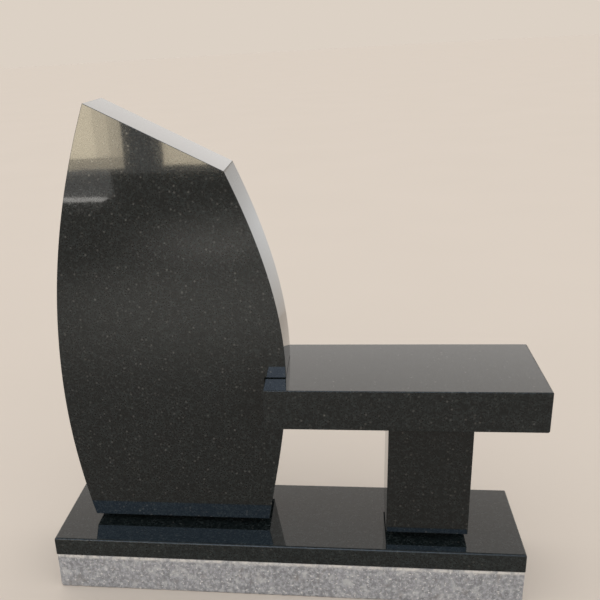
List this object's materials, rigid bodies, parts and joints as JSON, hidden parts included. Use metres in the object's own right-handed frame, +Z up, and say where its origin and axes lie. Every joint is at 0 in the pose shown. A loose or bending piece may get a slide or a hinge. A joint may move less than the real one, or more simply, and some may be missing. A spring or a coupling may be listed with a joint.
{
  "type": "memorial bench",
  "caption": "Polished black granite memorial bench: a curved upright tablet and a block leg carry a seat slab let into the tablet's edge, on a long plinth over a rough grey base.",
  "frame": {"origin": "centre of the base's flat underside", "axes": "+X along the plinth from the tablet to the seat's free end, +Y from the front to the back, +Z up"},
  "size_m": [1.229, 0.33, 1.2392],
  "materials": {
    "base_rough_grey_granite": "rough sawn",
    "plinth_black_granite": "polished",
    "tablet_black_granite": "polished",
    "seat_black_granite": "polished",
    "leg_black_granite": "polished",
    "tablet_setting_mortar": "rough",
    "leg_setting_mortar": "rough"
  },
  "bodies": {
    "root": {"base": "base_rough_grey_granite", "plinth": "plinth_black_granite", "tablet": "tablet_black_granite", "seat": "seat_black_granite", "leg": "leg_black_granite", "tablet_setting_bed": "tablet_setting_mortar", "leg_setting_bed": "leg_setting_mortar"}
  },
  "joints": []
}
